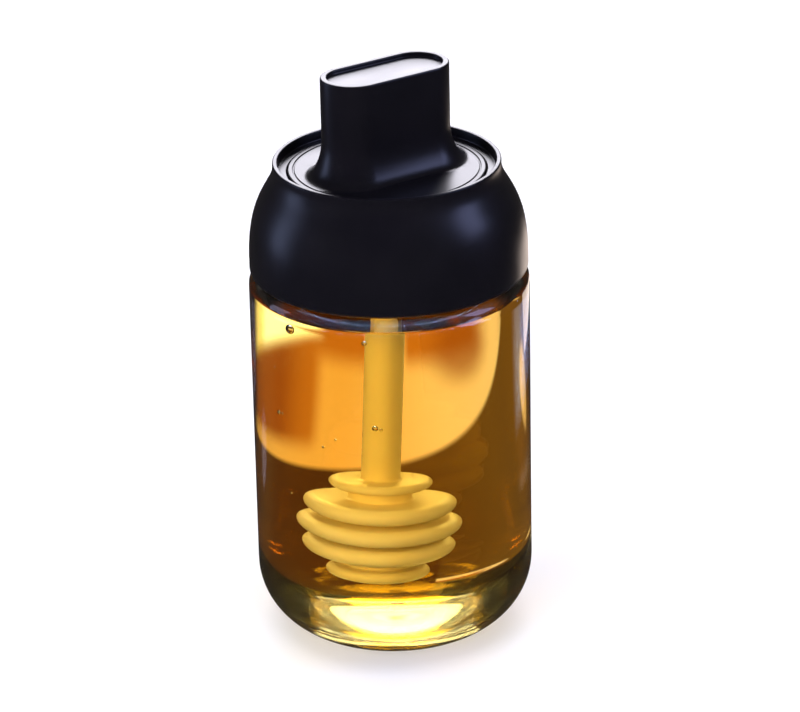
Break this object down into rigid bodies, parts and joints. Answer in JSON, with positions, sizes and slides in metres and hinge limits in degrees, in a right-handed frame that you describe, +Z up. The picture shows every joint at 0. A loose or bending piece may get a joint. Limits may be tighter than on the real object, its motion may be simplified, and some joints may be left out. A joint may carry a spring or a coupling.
{
  "type": "honey dispenser",
  "caption": "Round glass honey jar with a soft rounded base, a black domed collar, a stopper lid with an oval handle, and a honey dipper hanging in the honey.",
  "frame": {"origin": "middle of the flat base, on the surface that the jar stands on", "axes": "+Z up along the jar's axis, +X along the long side of the lid's oval handle"},
  "size_m": [0.0698, 0.07, 0.1483],
  "materials": {
    "clear_glass": "clear polished",
    "honey": "clear golden liquid",
    "black_plastic": "satin moulded",
    "cream_plastic": "smooth moulded"
  },
  "bodies": {
    "root": {"jar": "clear_glass", "honey": "honey", "collar": "black_plastic", "lid": "black_plastic", "dipper": "cream_plastic"}
  },
  "joints": []
}
